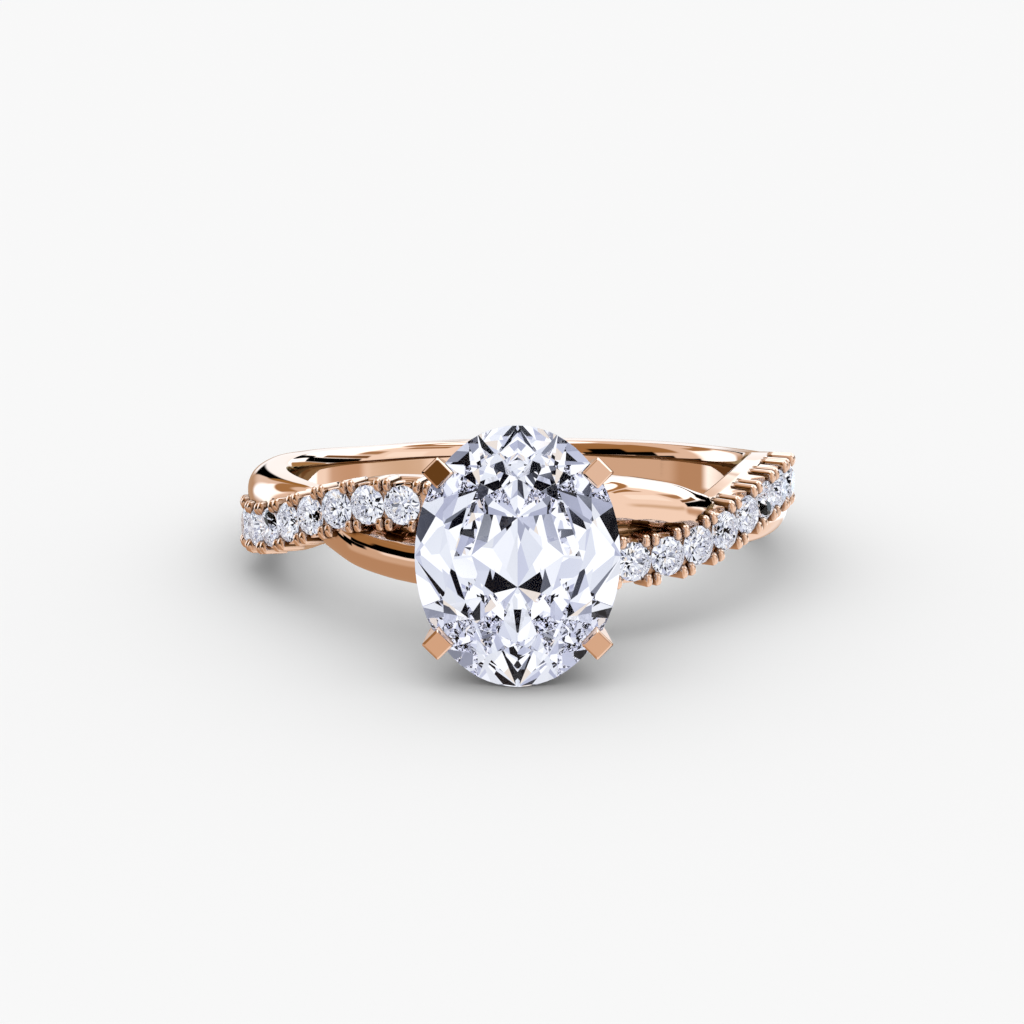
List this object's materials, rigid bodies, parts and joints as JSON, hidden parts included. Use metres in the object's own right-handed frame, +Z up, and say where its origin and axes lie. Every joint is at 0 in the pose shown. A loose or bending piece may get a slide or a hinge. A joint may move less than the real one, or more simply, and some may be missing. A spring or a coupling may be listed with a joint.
{
  "type": "twisted shank ring",
  "caption": "Rose gold ring whose shank splits into a plain strand and a stone-set strand that twist below a four-prong head holding an oval stone.",
  "frame": {"origin": "middle of the ring's box at the surface it rests on", "axes": "the ring lies on its side: +X to the right of the head as the picture shows it, -Y towards the head and the camera, +Z up; the finger's axis leans 8.9 degrees from +Z towards +Y, because the oval stone is longer than the shank is wide"},
  "size_m": [0.02, 0.0252, 0.0089],
  "materials": {
    "rose_gold": "high polish",
    "diamond": "cut and polished facets"
  },
  "bodies": {
    "root": {"ring_mount": "rose_gold", "oval_stone": "diamond", "left_stone_1": "diamond", "left_stone_2": "diamond", "left_stone_3": "diamond", "left_stone_4": "diamond", "left_stone_5": "diamond", "left_stone_6": "diamond", "left_stone_7": "diamond", "left_stone_8": "diamond", "right_stone_1": "diamond", "right_stone_2": "diamond", "right_stone_3": "diamond", "right_stone_4": "diamond", "right_stone_5": "diamond", "right_stone_6": "diamond", "right_stone_7": "diamond", "right_stone_8": "diamond"}
  },
  "joints": []
}
